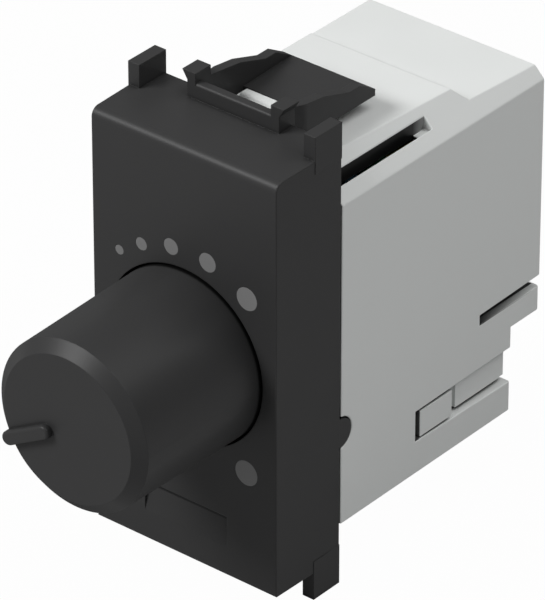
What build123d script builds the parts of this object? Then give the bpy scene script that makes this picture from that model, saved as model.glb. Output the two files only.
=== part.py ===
"""Rotary wall dimmer, one module wide, for a snap-in wall frame.

Millimetres and degrees. X runs to the right seen from the front, Y runs into
the wall and Z runs up. The origin is where the knob's axis meets the front
face of the cover, so a size called a depth is a Y coordinate.
"""

import os
from math import cos, radians, sin, sqrt, tan

from build123d import *

os.makedirs("parts", exist_ok=True)


# Front cover: a drafted shell whose size is taken at its rear edge
cover_width = 22.4
cover_height = 45.3
cover_depth = 9.2
cover_draft = 0.8
face_wall = 1.8
cover_wall = 1.4
top_edge_round = 0.95
face_edge_round = 0.12
knob_gap = 0.27

# Corner tabs that stop the module against the wall frame
tab_thickness = 1.36
tab_length = 3.74
tab_proud = 0.1
tab_rise = 2.45
lower_tab_rise = 2.95

# Half-round ears on the cover's sides, let into the housing
ear_radius = 1.57
ear_reach = 0.15
ear_thickness = 1.0
ear_drop = 8.75
ear_gap = 0.15

# Thumbnail notch under the knob
notch_width = 10.1
notch_top = 15.95
notch_slope = 3.4
notch_depth = 0.6

# Printed dots, from the smallest to the largest: angle from +X, place and size
dot_depth = 0.2
dot_angles = (233.3, 132.7, 116.8, 97.7, 75.6, 50.3, -53.3)
dot_circle_radii = (12.5, 11.54, 11.38, 11.36, 11.58, 11.86, 12.5)
dot_diameters = (0.75, 1.0, 1.33, 1.69, 1.98, 2.41, 2.66)

# Latch on top of the cover, moulded with it
latch_width = 11.1
cheek_thickness = 1.05
bar_depth = 7.2
bar_thickness = 0.85
bar_inset = 0.05
bar_rise = 1.65
bar_round = 0.3
post_thickness = 1.0
post_rise = 2.7
horn_reach = 0.6
horn_height = 0.95
horn_depth = 2.2
neck_inset = 0.45
neck_end = 1.8
cheek_depth = 10.4
cheek_crest = 13.7
cheek_dip = 17.35
cheek_knee = 18.95
latch_rear = 21.2
cheek_front_height = 4.65
cheek_crest_height = 4.2
cheek_dip_height = 3.0
latch_clearance = 1.0
plate_thickness = 0.7
plate_fall = 0.25
plate_front = 14.15

# Fixed catch under the cover, opposite the latch
catch_width = 11.1
catch_length = 4.6
catch_rise = 1.3
rail_gap = 1.2

# Knob, turned about the Y axis
knob_radius = 9.18
knob_taper = 0.99
knob_reach = 16.64
knob_entry = 2.2
knob_bevel_radius = 7.69
knob_bevel_depth = 1.03
knob_wall = 1.3
knob_face_wall = 1.8
hub_radius = 3.5
hub_rear = 0.5
knob_ribs = 6
knob_rib_thickness = 0.8
knob_rib_rear = 4.0
knob_grip = 12.0

# Raised pointer on the knob's face
pointer_angle = 209.0
pointer_offset = 0.3
pointer_start = 1.95
pointer_end = 8.3
pointer_width = 1.45
pointer_rise = 0.76
pointer_round = 0.3

# Shaft with one flat, and what it carries
shaft_radius = 2.0
shaft_flat = 1.35
shaft_clearance = 0.05
push_travel = 1.5
journal_radius = 1.4
groove_radius = 1.0
clip_radius = 2.3
clip_mouth = 1.6
clip_thickness = 0.4
shaft_tail = 0.65

# Bushing and potentiometer body
bushing_gap = 0.5
bushing_radius = 3.5
bushing_length = 3.9
bushing_plate = 1.0
pot_width = 16.0
pot_length = 11.0
pot_floor = 1.2
front_chamber_radius = 7.0
rear_chamber_radius = 5.9
front_chamber_length = 4.0
pot_corner_round = 1.0

# Rotor and its wiper
rotor_gap = 0.3
rotor_radius = 6.5
rotor_hub_radius = 3.2
rotor_length = 3.5
rotor_disc_start = 0.3
rotor_disc = 1.4
wiper_thickness = 0.3
wiper_width = 2.6
wiper_ring = 1.2
wiper_margin = 0.3
wiper_bump_radius = 0.5
wiper_bump = 0.4
wiper_gap = 0.2

# Resistive track on its plate
track_radius = 5.2
track_width = 1.6
track_thickness = 0.2
track_sweep = 290
track_plate_thickness = 0.8
track_plate_gap = 0.1
track_plate_bore = 3.6
track_pin_radius = 0.35
track_pin_circle = 6.45
track_pin_angles = (240, 270, 300)
pin_tail = 0.4

# Push slider, contact ring and return spring
slider_gap = 0.6
slider_thickness = 1.5
slider_radius = 5.3
key_reach = 1.2
key_width = 1.6
key_gap = 0.2
ring_bore = 3.6
ring_radius = 5.2
ring_thickness = 0.3
contact_gap = 0.1
contact_radius = 0.6
contact_circle = 4.4
contact_angles = (45, 225)
axial_gap = 0.05
spring_radius = 3.0
spring_wire = 0.2
spring_wire_sides = 8
spring_turns = 4

# Circuit board
board_thickness = 1.6
board_side_gap = 0.2
board_end_gap = 0.35
board_top = 15.3
board_hole_gap = 0.1

# Housing: outer form, with a roof that falls to the rear
housing_bottom = 19.05
side_top = 16.08
roof_front = 19.52
roof_fall = 1.9
roof_step_depth = 28.9
roof_step = 1.25
housing_rear = 39.95
housing_wall = 1.3
shadow_gap = 0.25
shadow_inset = 0.6
seat_ledge = 0.9
seat_ledge_height = 1.5
seat_ledge_length = 4.0
upper_ledge = 11.0
lower_ledge = 6.6

# Flexing tongue in the roof, and the pad that catches the latch's window
tongue_half = 9.0
tongue_slot = 1.0
tongue_end = 24.15
slot_shelf_length = 1.6
slot_shelf_height = 0.8
pad_width = 7.6
pad_front = 11.6
pad_length = 2.35
pad_gap = 0.2
pad_round = 0.4

# Steps and slots at the rear of the side walls
flex_slot_start = 30.6
flex_slot_top = 5.95
flex_slot_height = 0.97
flex_slot_draft = 0.25
visor_bottom = 9.6
lower_rear = 35.55
window_start = 20.8
window_top = 12.05
window_height = 3.35
window_flare = 0.45
window_lift = 0.2
floor_end = 31.4
rear_corner_round = 0.4
jaw_corner_round = 0.4
foot_corner_round = 0.25

# Terminal block, pushed in from the rear
block_front = 21.5
block_gap = 0.2
block_top = 7.25
block_front_wall = 3.4
visor_thickness = 1.3
snap_length = 4.9
snap_gap = 0.65
window_gap = 0.25
rail_start = 27.65
rail_end = 34.6
rail_inset = 0.6
rail_tail = 0.7
rail_tail_inset = 0.7
terminal_count = 3
chamber_gap = 1.2
chamber_side_wall = 0.7
chamber_top_wall = 1.5
chamber_floor_wall = 1.1

# Brass pillars and their screws
pillar_length = 8.6
pillar_gap = 0.1
wire_bore_radius = 1.7
wire_bore_length = 7.4
wire_height = 11.3
tail_radius = 0.55
screw_place = 4.2
screw_radius = 1.45
thread_radius = 1.5
screw_head_radius = 2.2
screw_head_height = 1.6
screw_slot = 0.6
screw_slot_depth = 0.8
screw_backoff = 0.15
thread_overrun = 0.5
driver_hole_radius = 2.5

# Parts on the front of the board
chip_size = (5.0, 4.0, 1.5)
chip_place = (0.0, 12.0)
chip_leg = (0.4, 1.0, 0.9)
chip_leg_pitch = 1.27
chip_standoff = 0.1
fuse_radius = 4.0
fuse_length = 7.2
fuse_place = (-4.6, -12.9)
small_round = 0.5
can_radius = 3.1
can_length = 8.2
can_place = (5.2, -12.9)
can_groove = 0.3
resistor_radius = 0.95
resistor_length = 3.6
resistor_lead = 0.3
resistor_wall_gap = 0.85
resistor_pitch = 2.5
resistor_height = 11.8
resistor_standoff = 0.3

# Parts on the rear of the board
capacitor_size = (12.0, 5.0, 10.5)
capacitor_bottom = 10.2
choke_wall_gap = 0.8
choke_height = 2.2
choke_outer = 5.2
choke_inner = 2.8
choke_length = 5.2
choke_turns = 14
turn_wire = 0.5
choke_gap = 0.2
sink_thickness = 1.0
sink_wall_gap = 0.3
sink_bottom = 4.5
sink_top = 9.6
sink_rear_gap = 0.95
triac_width = 10.0
triac_thickness = 4.3
triac_rear_gap = 0.65
triac_body_length = 9.0
triac_tab_thickness = 1.3
triac_tab_length = 4.8
triac_centre = 2.5
triac_leg = 0.8
triac_leg_pitch = 2.54
triac_screw_radius = 1.5
triac_screw_hole = 1.55
triac_screw_head_radius = 2.2
triac_screw_head = 1.5


# Places worked out from the sizes above
half_width = cover_width / 2
cover_half_height = cover_height / 2
cavity_half = half_width - housing_wall
chamfer_sum = half_width + side_top
cavity_top = roof_front - housing_wall
cavity_bottom = housing_bottom - housing_wall
hub_clear = hub_rear + push_travel + bushing_gap
pot_front = hub_clear + bushing_length + bushing_plate
board_front = pot_front + pot_length
board_rear = board_front + board_thickness
step_depth = pot_front + front_chamber_length
rotor_front = pot_front + rotor_gap
disc_front = rotor_front + rotor_disc_start
wiper_front = disc_front + rotor_disc
track_front = wiper_front + wiper_thickness + wiper_bump + wiper_gap
plate_front_face = track_front + track_thickness
slider_front = step_depth + slider_gap
slider_rear = slider_front + slider_thickness
floor_front = board_front - pot_floor
contact_front = slider_rear + ring_thickness + push_travel + contact_gap
shaft_front = hub_rear - knob_grip
shaft_shoulder = slider_front - axial_gap
clip_front = slider_rear + axial_gap
shaft_end = clip_front + clip_thickness + shaft_tail
latch_floor = roof_front + latch_clearance
pillar_front = block_front + block_front_wall
pillar_rear = pillar_front + pillar_length
chamber_top = block_top + chamber_top_wall
block_bottom = cavity_bottom - block_gap
chamber_bottom = block_bottom - chamber_floor_wall
block_half = cavity_half - block_gap
chamber_room = 2 * (block_half - chamber_side_wall) + chamber_gap
terminal_pitch = chamber_room / terminal_count
chamber_width = terminal_pitch - chamber_gap
pillar_width = chamber_width - 2 * pillar_gap
terminals = [(i - (terminal_count - 1) / 2) * terminal_pitch for i in range(terminal_count)]


def front(depth):
    """Plane facing the viewer at a depth behind the front face, X and Z upright."""
    return Plane.XZ.offset(-depth)


def side(x):
    """Plane facing right at an X, drawn with Y to the right and Z up."""
    return Plane.YZ.offset(x)


def block(x, y, z, mode=Mode.ADD):
    """Rectangular block between two limits on each axis."""
    centre = tuple((low + high) / 2 for low, high in (x, y, z))
    with Locations(centre):
        Box(x[1] - x[0], y[1] - y[0], z[1] - z[0], mode=mode)


def rod(x, z, radius, near, far, mode=Mode.ADD):
    """Round bar along the depth, from near to far."""
    with BuildSketch(front(near)) as outline:
        with Locations((x, z)):
            Circle(radius)
    extrude(outline.sketch, amount=near - far, mode=mode)


def side_profile(points, x_low, x_high, mode=Mode.ADD):
    """Shape drawn in depth and height, run across from one X to another."""
    with BuildSketch(side(x_low)) as outline:
        with BuildLine():
            Polyline(*points, close=True)
        make_face()
    extrude(outline.sketch, amount=x_high - x_low, mode=mode)


def flatted(plane, radius, flat, length, mode=Mode.ADD):
    """Round bar with a flat on its lower side."""
    with BuildSketch(plane) as outline:
        Circle(radius)
        with Locations((0, -flat - radius)):
            Rectangle(4 * radius, 2 * radius, mode=Mode.SUBTRACT)
    extrude(outline.sketch, amount=-length, mode=mode)


def polar(angle, radius):
    """Point in X and Z on a circle about the knob's axis."""
    return radius * cos(radians(angle)), radius * sin(radians(angle))


dots = [
    (*polar(angle, circle_radius), diameter / 2)
    for angle, circle_radius, diameter in zip(dot_angles, dot_circle_radii, dot_diameters)
]

# Front cover


def cover_shell():
    """Drafted box with rounded face edges, open at the rear."""
    with BuildSketch(front(cover_depth)) as outline:
        Rectangle(cover_width, cover_height)
    extrude(outline.sketch, amount=cover_depth, taper=cover_draft)


def cover_cavity():
    """Room for the mechanism, with cored pockets above and below it."""
    depth = cover_depth - face_wall
    inner_width = cover_width - 2 * cover_wall
    with BuildSketch(front(cover_depth)) as room:
        with Locations((0, (cavity_top - cavity_bottom) / 2)):
            Rectangle(inner_width, cavity_top + cavity_bottom)
    extrude(room.sketch, amount=depth, mode=Mode.SUBTRACT)
    for low, high in (
        (cavity_top + housing_wall, cover_half_height - cover_wall),
        (-cover_half_height + cover_wall, -cavity_bottom - housing_wall),
    ):
        with BuildSketch(front(cover_depth)) as pockets:
            with Locations((0, (low + high) / 2)):
                with GridLocations(inner_width / 4, 1, 4, 1):
                    Rectangle(inner_width / 4 - cover_wall / 2, high - low)
        extrude(pockets.sketch, amount=depth - face_wall, mode=Mode.SUBTRACT)


def cover_tabs():
    """Four stop tabs, flush with the sides, above and below the rear edge."""
    root = cover_half_height - cover_wall
    top = cover_half_height + tab_rise
    bottom = -cover_half_height - lower_tab_rise
    depths = (cover_depth - tab_length, cover_depth + tab_proud)
    for across in (-1, 1):
        sides = sorted((across * half_width, across * (half_width - tab_thickness)))
        block(sides, depths, (root, top))
        block(sides, depths, (bottom, -root))


def cover_ears():
    """Half-round ears that reach back from the side walls."""
    for across in (-1, 1):
        inner = across * (half_width - ear_thickness)
        with BuildSketch(side(inner)) as ear:
            with Locations((cover_depth + ear_reach, -ear_drop)):
                Circle(ear_radius)
            with Locations((cover_depth - ear_radius, -ear_drop)):
                Rectangle(2 * ear_radius, 3 * ear_radius, mode=Mode.SUBTRACT)
            with Locations((cover_depth, -ear_drop)):
                Rectangle(2 * ear_reach, 2 * ear_radius)
        extrude(ear.sketch, amount=across * ear_thickness)


def latch_bar():
    """Front bar with its two posts, whose horns lean outwards."""
    foot = cover_half_height - cover_wall
    top = cover_half_height + bar_rise
    tip = cover_half_height + post_rise
    outer = latch_width / 2 - bar_inset
    reach = outer + horn_reach
    with BuildSketch(side(-outer)) as bar:
        with Locations((bar_depth + bar_thickness / 2, (foot + top) / 2)):
            Rectangle(bar_thickness, top - foot)
        fillet(bar.vertices().group_by(Axis.Y)[-1].sort_by(Axis.X)[0], bar_round)
    extrude(bar.sketch, amount=2 * outer)
    for across in (-1, 1):
        with BuildSketch(front(bar_depth + horn_depth)) as post:
            with BuildLine():
                Polyline(
                    (across * (outer - post_thickness), foot),
                    (across * outer, foot),
                    (across * outer, tip - horn_height),
                    (across * reach, tip),
                    (across * (outer - post_thickness), tip),
                    close=True,
                )
            make_face()
        extrude(post.sketch, amount=horn_depth)


def latch_cheek():
    """Right-hand cheek, drawn in a little behind the post and wider further back."""
    half = latch_width / 2
    foot = cover_half_height - cover_wall
    top = cover_half_height + bar_rise
    gap_depth = cover_depth + shadow_gap
    with BuildPart() as cheek:
        with BuildSketch(side(0)):
            with BuildLine():
                Polyline(
                    (bar_depth, top),
                    (bar_depth, foot),
                    (gap_depth, foot),
                    (gap_depth, latch_floor),
                    (latch_rear, latch_floor),
                    (latch_rear, latch_floor + plate_thickness),
                    (cheek_knee, roof_front + cheek_dip_height),
                    (cheek_dip, roof_front + cheek_dip_height),
                    (cheek_crest, roof_front + cheek_crest_height),
                    (cheek_depth, roof_front + cheek_front_height),
                    (bar_depth + horn_depth, top),
                    close=True,
                )
            make_face()
        extrude(amount=half)
        with BuildSketch(Plane.XY.offset(latch_floor)):
            with BuildLine():
                outer_front = (half - neck_inset, bar_depth + horn_depth)
                outer_rear = (half, bar_depth + horn_depth + neck_end)
                start = bar_depth + bar_thickness / 2
                Spline(outer_front, outer_rear, tangents=((0, 1), (0, 1)))
                Polyline(
                    outer_rear,
                    (half, latch_rear),
                    (half - cheek_thickness, latch_rear),
                    (half - cheek_thickness, start),
                    (half - neck_inset, start),
                    outer_front,
                )
            make_face()
        extrude(amount=cover_half_height, mode=Mode.INTERSECT)
    return cheek.part


def latch_plate():
    """Plate between the cheeks, open in front where the housing's pad stands."""
    half = latch_width / 2 - cheek_thickness / 2
    top = latch_floor + plate_thickness
    side_profile(
        [
            (plate_front, latch_floor),
            (latch_rear, latch_floor),
            (latch_rear, top),
            (plate_front, top - plate_fall),
        ],
        -half,
        half,
    )


def cover_catch():
    """Fixed catch below, behind the room for the frame's lower rail."""
    low = -cover_half_height
    rear = cover_depth + rail_gap + catch_length
    side_profile(
        [
            (cover_depth - cover_wall, low + cover_wall),
            (rear, low + cover_wall),
            (rear, low + cover_wall / 2),
            (cover_depth + rail_gap, low - catch_rise),
            (cover_depth + rail_gap, low),
            (cover_depth - cover_wall, low),
        ],
        -catch_width / 2,
        catch_width / 2,
    )


right_cheek = latch_cheek()

with BuildPart() as front_cover:
    cover_shell()
    face_top = front_cover.faces().sort_by(Axis.Y)[0].edges().sort_by(Axis.Z)[-1]
    fillet(face_top, top_edge_round)
    front_face = front_cover.faces().sort_by(Axis.Y)[0]
    fillet(front_face.edges().sort_by(Axis.Z)[:3], face_edge_round)
    cover_cavity()
    cover_tabs()
    cover_ears()
    latch_bar()
    add(right_cheek)
    add(mirror(right_cheek, about=Plane.YZ, mode=Mode.PRIVATE))
    latch_plate()
    cover_catch()
    rod(0, 0, knob_radius + knob_gap, -1, face_wall + 1, mode=Mode.SUBTRACT)
    side_profile(
        [
            (-1, -notch_top),
            (notch_depth, -notch_top),
            (0, -notch_top - notch_slope),
            (-1, -notch_top - notch_slope),
        ],
        -notch_width / 2,
        notch_width / 2,
        mode=Mode.SUBTRACT,
    )
    for x, z, radius in dots:
        rod(x, z, radius, 0, dot_depth, mode=Mode.SUBTRACT)
front_cover.part.label = "front_cover"

with BuildPart() as scale_dots:
    for x, z, radius in dots:
        rod(x, z, radius, 0, dot_depth)
scale_dots.part.label = "scale_dots"

# Knob, shaft and clip


def knob_skirt(depth):
    """Radius of the knob's tapered skin at a depth."""
    return knob_radius + depth * tan(radians(knob_taper))


with BuildPart() as knob:
    bevel_depth = knob_bevel_depth - knob_reach
    inner_face = knob_face_wall - knob_reach
    with BuildSketch(Plane.XY) as knob_profile:
        with BuildLine():
            Polyline(
                (0, -knob_reach),
                (knob_bevel_radius, -knob_reach),
                (knob_skirt(bevel_depth), bevel_depth),
                (knob_skirt(knob_entry), knob_entry),
                (knob_skirt(knob_entry) - knob_wall, knob_entry),
                (knob_skirt(inner_face) - knob_wall, inner_face),
                (hub_radius, inner_face),
                (hub_radius, hub_rear),
                (0, hub_rear),
                close=True,
            )
        make_face()
    revolve(axis=Axis.Y)
    rib_start = hub_radius - knob_rib_thickness / 2
    rib_end = knob_skirt(inner_face) - knob_wall / 2
    with BuildSketch(front(-knob_rib_rear)) as ribs:
        with PolarLocations((rib_start + rib_end) / 2, knob_ribs):
            Rectangle(rib_end - rib_start, knob_rib_thickness)
    extrude(ribs.sketch, amount=-knob_rib_rear - inner_face)
    flatted(front(shaft_front), shaft_radius, shaft_flat, knob_grip, mode=Mode.SUBTRACT)
    along_x, along_z = polar(pointer_angle, (pointer_start + pointer_end) / 2)
    aside_x, aside_z = polar(pointer_angle - 90, pointer_offset)
    with BuildSketch(front(bevel_depth)) as pointer:
        with Locations((along_x + aside_x, along_z + aside_z)):
            SlotOverall(pointer_end - pointer_start, pointer_width, rotation=pointer_angle)
    extrude(pointer.sketch, amount=knob_bevel_depth + pointer_rise)
    fillet(knob.faces().sort_by(Axis.Y)[0].edges(), pointer_round)
knob.part.label = "knob"

with BuildPart() as shaft:
    flatted(front(shaft_front), shaft_radius, shaft_flat, shaft_shoulder - shaft_front)
    rod(0, 0, journal_radius, shaft_shoulder, shaft_end)
    rod(0, 0, journal_radius + 1, clip_front, clip_front + clip_thickness, mode=Mode.SUBTRACT)
    rod(0, 0, groove_radius, clip_front, clip_front + clip_thickness)
shaft.part.label = "shaft"

with BuildPart() as shaft_clip:
    with BuildSketch(front(clip_front)):
        Circle(clip_radius)
        Circle(groove_radius, mode=Mode.SUBTRACT)
        with Locations((0, -clip_radius)):
            Rectangle(clip_mouth, 2 * clip_radius, mode=Mode.SUBTRACT)
    extrude(amount=-clip_thickness)
shaft_clip.part.label = "shaft_clip"

# Bushing and potentiometer body

with BuildPart() as pot_bushing:
    half = pot_width / 2
    block((-half, half), (pot_front - bushing_plate, pot_front), (-half, half))
    fillet(pot_bushing.edges().filter_by(Axis.Y), pot_corner_round)
    rod(0, 0, bushing_radius, hub_clear, pot_front - bushing_plate)
    chamfer(pot_bushing.faces().sort_by(Axis.Y)[0].edges(), bushing_gap / 2)
    rod(0, 0, shaft_radius + shaft_clearance, hub_clear, pot_front, mode=Mode.SUBTRACT)
pot_bushing.part.label = "pot_bushing"

pin_end = board_rear + pin_tail

with BuildPart() as pot_body:
    half = pot_width / 2
    block((-half, half), (pot_front, board_front), (-half, half))
    fillet(pot_body.edges().filter_by(Axis.Y), pot_corner_round)
    rod(0, 0, front_chamber_radius, pot_front, step_depth, mode=Mode.SUBTRACT)
    rod(0, 0, rear_chamber_radius, step_depth, floor_front, mode=Mode.SUBTRACT)
    keyway = slider_radius + key_reach + key_gap
    keyway_half = key_width / 2 + key_gap
    block((-keyway, keyway), (step_depth, floor_front), (-keyway_half, keyway_half), mode=Mode.SUBTRACT)
    for angle in track_pin_angles:
        x, z = polar(angle, track_pin_circle)
        rod(x, z, track_pin_radius, step_depth, board_front, mode=Mode.SUBTRACT)
    for angle in contact_angles:
        x, z = polar(angle, contact_circle)
        rod(x, z, contact_radius, floor_front, board_front, mode=Mode.SUBTRACT)
pot_body.part.label = "pot_body"

with BuildPart() as pot_rotor:
    rod(0, 0, rotor_hub_radius, rotor_front, rotor_front + rotor_length)
    rod(0, 0, rotor_radius, disc_front, disc_front + rotor_disc)
    bore_flat = shaft_flat + shaft_clearance
    bore_radius = shaft_radius + shaft_clearance
    flatted(front(rotor_front), bore_radius, bore_flat, rotor_length, mode=Mode.SUBTRACT)
pot_rotor.part.label = "pot_rotor"

with BuildPart() as wiper:
    with BuildSketch(front(wiper_front)):
        Rectangle(2 * (rotor_radius - wiper_margin), wiper_width)
        Circle(rotor_hub_radius + wiper_ring)
        Circle(rotor_hub_radius, mode=Mode.SUBTRACT)
    extrude(amount=-wiper_thickness)
    bump_end = wiper_front + wiper_thickness + wiper_bump
    for across in (-1, 1):
        rod(across * track_radius, 0, wiper_bump_radius, wiper_front, bump_end)
wiper.part.label = "wiper"

with BuildPart() as track_plate:
    plate_rear_face = plate_front_face + track_plate_thickness
    rod(0, 0, front_chamber_radius - track_plate_gap, plate_front_face, plate_rear_face)
    rod(0, 0, track_plate_bore, plate_front_face, plate_rear_face, mode=Mode.SUBTRACT)
track_plate.part.label = "track_plate"

with BuildPart() as resistive_track:
    gap_half = (360 - track_sweep) / 2
    with BuildSketch(front(track_front)):
        Circle(track_radius + track_width / 2)
        Circle(track_radius - track_width / 2, mode=Mode.SUBTRACT)
        with BuildLine():
            left = polar(270 - gap_half, 2 * track_radius)
            right = polar(270 + gap_half, 2 * track_radius)
            Polyline((0, 0), left, right, close=True)
        make_face(mode=Mode.SUBTRACT)
    extrude(amount=-track_thickness)
resistive_track.part.label = "resistive_track"

with BuildPart() as track_pins:
    for angle in track_pin_angles:
        x, z = polar(angle, track_pin_circle)
        rod(x, z, track_pin_radius, plate_rear_face, pin_end)
track_pins.part.label = "track_pins"

# Push switch

with BuildPart() as push_slider:
    rod(0, 0, slider_radius, slider_front, slider_rear)
    key = slider_radius + key_reach
    block((-key, key), (slider_front, slider_rear), (-key_width / 2, key_width / 2))
    rod(0, 0, journal_radius + shaft_clearance, slider_front, slider_rear, mode=Mode.SUBTRACT)
push_slider.part.label = "push_slider"

with BuildPart() as contact_ring:
    rod(0, 0, ring_radius, slider_rear, slider_rear + ring_thickness)
    rod(0, 0, ring_bore, slider_rear, slider_rear + ring_thickness, mode=Mode.SUBTRACT)
contact_ring.part.label = "contact_ring"

with BuildPart() as return_spring:
    coil_start = slider_rear + spring_wire
    coil_height = floor_front - spring_wire - coil_start
    pitch = coil_height / spring_turns
    with BuildLine() as coil:
        Helix(pitch, coil_height, spring_radius, center=(0, coil_start, 0), direction=(0, 1, 0))
    with BuildSketch(Plane(origin=coil.line @ 0, z_dir=coil.line % 0)):
        RegularPolygon(spring_wire, spring_wire_sides)
    sweep(path=coil.line)
return_spring.part.label = "return_spring"

with BuildPart() as switch_contacts:
    for angle in contact_angles:
        x, z = polar(angle, contact_circle)
        rod(x, z, contact_radius, contact_front, pin_end)
switch_contacts.part.label = "switch_contacts"

# Circuit board

with BuildPart() as circuit_board:
    board_half = cavity_half - board_side_gap
    heights = (-cavity_bottom + board_end_gap, board_top)
    block((-board_half, board_half), (board_front, board_rear), heights)
    holes = [(*polar(a, track_pin_circle), track_pin_radius) for a in track_pin_angles]
    holes += [(*polar(a, contact_circle), contact_radius) for a in contact_angles]
    holes += [(x, -wire_height, tail_radius) for x in terminals]
    for x, z, radius in holes:
        rod(x, z, radius + board_hole_gap, board_front, board_rear, mode=Mode.SUBTRACT)
circuit_board.part.label = "circuit_board"

# Parts on the front of the board

with BuildPart() as control_chip:
    chip_width, chip_height, chip_thickness = chip_size
    chip_x, chip_z = chip_place
    block(
        (chip_x - chip_width / 2, chip_x + chip_width / 2),
        (board_front - chip_standoff - chip_thickness, board_front - chip_standoff),
        (chip_z - chip_height / 2, chip_z + chip_height / 2),
    )
    leg_width, leg_reach, leg_height = chip_leg
    leg_row = (chip_height + leg_reach) / 2 - chip_standoff
    with BuildSketch(front(board_front)) as legs:
        with Locations(chip_place):
            with GridLocations(chip_leg_pitch, 2 * leg_row, 4, 2):
                Rectangle(leg_width, leg_reach)
    extrude(legs.sketch, amount=leg_height)
control_chip.part.label = "control_chip"

with BuildPart() as fuse:
    rod(*fuse_place, fuse_radius, board_front - fuse_length, board_front)
    fillet(fuse.faces().sort_by(Axis.Y)[0].edges(), small_round)
fuse.part.label = "fuse"

with BuildPart() as electrolytic_capacitor:
    rod(*can_place, can_radius, board_front - can_length, board_front)
    fillet(electrolytic_capacitor.faces().sort_by(Axis.Y)[0].edges(), small_round)
    groove = board_front - can_length / 5
    with BuildSketch(front(groove)) as ring:
        with Locations(can_place):
            Circle(can_radius)
            Circle(can_radius - can_groove, mode=Mode.SUBTRACT)
    extrude(ring.sketch, amount=2 * can_groove, mode=Mode.SUBTRACT)
electrolytic_capacitor.part.label = "electrolytic_capacitor"

with BuildPart() as resistors:
    centre = board_front - resistor_radius - resistor_standoff
    low = resistor_height - resistor_length / 2
    lead_row = resistor_length / 2 + 2 * resistor_lead
    outermost = cavity_half - resistor_wall_gap - resistor_radius
    for x in (-outermost, resistor_pitch - outermost, outermost - resistor_pitch, outermost):
        with BuildSketch(Plane.XY.offset(low)) as body:
            with Locations((x, centre)):
                Circle(resistor_radius)
        extrude(body.sketch, amount=resistor_length)
        with BuildSketch(Plane.XY.offset(resistor_height - lead_row)) as lead:
            with Locations((x, centre)):
                Circle(resistor_lead)
        extrude(lead.sketch, amount=2 * lead_row)
        for end in (-1, 1):
            rod(x, resistor_height + end * lead_row, resistor_lead, centre - resistor_lead, board_front)
resistors.part.label = "resistors"

# Parts on the rear of the board

with BuildPart() as film_capacitor:
    wide, high, long = capacitor_size
    block(
        (-wide / 2, wide / 2),
        (board_rear, board_rear + long),
        (capacitor_bottom, capacitor_bottom + high),
    )
    fillet(film_capacitor.faces().sort_by(Axis.Y)[-1].edges(), small_round)
film_capacitor.part.label = "film_capacitor"

choke_front = pin_end + turn_wire + choke_gap
choke_place = (choke_outer + turn_wire + choke_wall_gap - cavity_half, choke_height)

with BuildPart() as choke_core:
    rod(*choke_place, choke_outer, choke_front, choke_front + choke_length)
    rod(*choke_place, choke_inner, choke_front, choke_front + choke_length, mode=Mode.SUBTRACT)
choke_core.part.label = "choke_core"

with BuildPart() as choke_winding:
    wind_front = choke_front - turn_wire
    wind_length = choke_length + 2 * turn_wire
    middle = (choke_outer + choke_inner) / 2
    across = choke_outer - choke_inner
    with BuildSketch(front(wind_front)) as turns:
        with Locations(choke_place):
            with PolarLocations(middle, choke_turns):
                Rectangle(across + 2 * turn_wire, turn_wire)
    extrude(turns.sketch, amount=-wind_length)
    with BuildSketch(front(choke_front)) as hollow:
        with Locations(choke_place):
            Circle(choke_outer)
            Circle(choke_inner, mode=Mode.SUBTRACT)
    extrude(hollow.sketch, amount=-choke_length, mode=Mode.SUBTRACT)
choke_winding.part.label = "choke_winding"

sink_outer = cavity_half - sink_wall_gap
sink_face = sink_outer - sink_thickness
sink_rear = housing_rear - housing_wall - sink_rear_gap
tab_rear = housing_rear - housing_wall - triac_rear_gap
tab_front = tab_rear - triac_tab_length
screw_depth = tab_front + triac_tab_length / 2
screw_plane = Plane.YZ.offset(sink_outer)

with BuildPart() as heat_sink:
    block((sink_face, sink_outer), (board_rear, sink_rear), (-sink_bottom, sink_top))
    with BuildSketch(screw_plane) as hole:
        with Locations((screw_depth, triac_centre)):
            Circle(triac_screw_hole)
    extrude(hole.sketch, amount=-sink_thickness, mode=Mode.SUBTRACT)
heat_sink.part.label = "heat_sink"

with BuildPart() as triac:
    body_front = tab_front - triac_body_length
    heights = (triac_centre - triac_width / 2, triac_centre + triac_width / 2)
    block((sink_face - triac_thickness, sink_face), (body_front, tab_front), heights)
    block((sink_face - triac_tab_thickness, sink_face), (tab_front, tab_rear), heights)
    with BuildSketch(screw_plane) as hole:
        with Locations((screw_depth, triac_centre)):
            Circle(triac_screw_hole)
    extrude(hole.sketch, amount=-sink_thickness - triac_tab_thickness, mode=Mode.SUBTRACT)
    leg_x = sink_face - triac_thickness / 2
    for row in (-1, 0, 1):
        leg_z = triac_centre + row * triac_leg_pitch
        block(
            (leg_x - triac_leg / 2, leg_x + triac_leg / 2),
            (board_rear, body_front),
            (leg_z - triac_leg / 2, leg_z + triac_leg / 2),
        )
triac.part.label = "triac"

with BuildPart() as triac_screw:
    head_face = sink_face - triac_tab_thickness
    with BuildSketch(Plane.YZ.offset(head_face - triac_screw_head)) as head:
        with Locations((screw_depth, triac_centre)):
            Circle(triac_screw_head_radius)
    extrude(head.sketch, amount=triac_screw_head)
    fillet(triac_screw.faces().sort_by(Axis.X)[0].edges(), small_round)
    with BuildSketch(Plane.YZ.offset(head_face)) as shank:
        with Locations((screw_depth, triac_centre)):
            Circle(triac_screw_radius)
    extrude(shank.sketch, amount=sink_outer - head_face)
triac_screw.part.label = "triac_screw"

# Housing


def roof_height(depth):
    """Height of the outer roof at a depth, with its step down."""
    fall = (depth - cover_depth) * tan(radians(roof_fall))
    return roof_front - fall - (roof_step if depth > roof_step_depth + roof_step else 0)


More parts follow.
